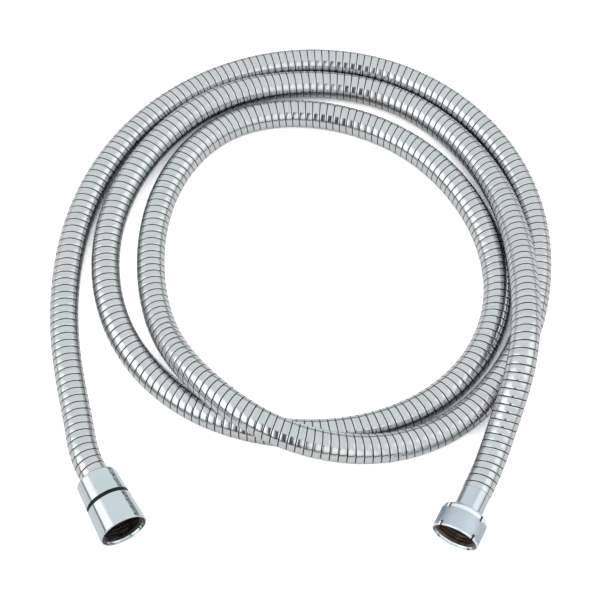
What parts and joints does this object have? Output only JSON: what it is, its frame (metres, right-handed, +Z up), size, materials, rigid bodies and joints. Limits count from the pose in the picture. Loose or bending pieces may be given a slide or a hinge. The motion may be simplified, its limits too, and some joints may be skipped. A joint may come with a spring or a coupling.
{
  "type": "shower hose",
  "caption": "Flexible metal shower hose lying in a loose coil, with a tapered anti-twist swivel nut at one end and a loose knurled nut at the other.",
  "frame": {"origin": "on the floor, midway between the two end fittings (centre of the base of their common box)", "axes": "+X from the tapered swivel nut to the knurled nut, +Y from the end fittings into the coil, +Z up"},
  "size_m": [0.2634, 0.2977, 0.0351],
  "materials": {
    "steel_armour": "finely brushed bands, polished edges",
    "water_tube_rubber": "smooth",
    "chrome": "polished",
    "satin_nut": "satin, finely knurled",
    "brass": "machined",
    "crimp_brass": "drawn sheet",
    "black_plastic": "satin",
    "seal_rubber": "matt",
    "white_plastic": "matt",
    "spring_steel": "oiled"
  },
  "bodies": {
    "hose": {"hose_armour": "steel_armour", "water_tube": "water_tube_rubber", "cone_collar": "chrome", "cone_stem": "brass", "cone_crimp_sleeve": "crimp_brass", "cone_bearing_ring": "black_plastic", "cone_snap_ring": "spring_steel", "nut_ferrule": "chrome", "nut_stem": "brass", "nut_crimp_sleeve": "crimp_brass", "nut_flat_washer": "seal_rubber"},
    "swivel": {"cone_swivel": "brass", "cone_rear_o_ring": "seal_rubber", "cone_front_o_ring": "seal_rubber", "cone_flat_washer": "seal_rubber"},
    "cone_nut": {"cone_nut": "chrome", "cone_slip_washer": "white_plastic"},
    "slip_ring": {"nut_slip_ring": "white_plastic"},
    "knurled_nut": {"knurled_nut": "satin_nut"}
  },
  "joints": [
    {"name": "swivel_turn", "type": "hinge", "parent": "hose", "child": "swivel", "pos_m": [-0.08817, 0.00427, 0.01115], "axis": [0.4841, -0.8733, 0.0552], "continuous": true},
    {"name": "cone_nut_turn", "type": "hinge", "parent": "swivel", "child": "cone_nut", "pos_m": [-0.0843, -0.00272, 0.01159], "axis": [0.4841, -0.8733, 0.0552], "continuous": true},
    {"name": "knurled_nut_slide", "type": "slide", "parent": "hose", "child": "slip_ring", "axis": [0.454, 0.891, 0], "range_m": [0, 0.0109]},
    {"name": "knurled_nut_turn", "type": "hinge", "parent": "slip_ring", "child": "knurled_nut", "pos_m": [0.0847, -0.01098, 0.01208], "axis": [-0.454, -0.891, 0], "continuous": true}
  ]
}
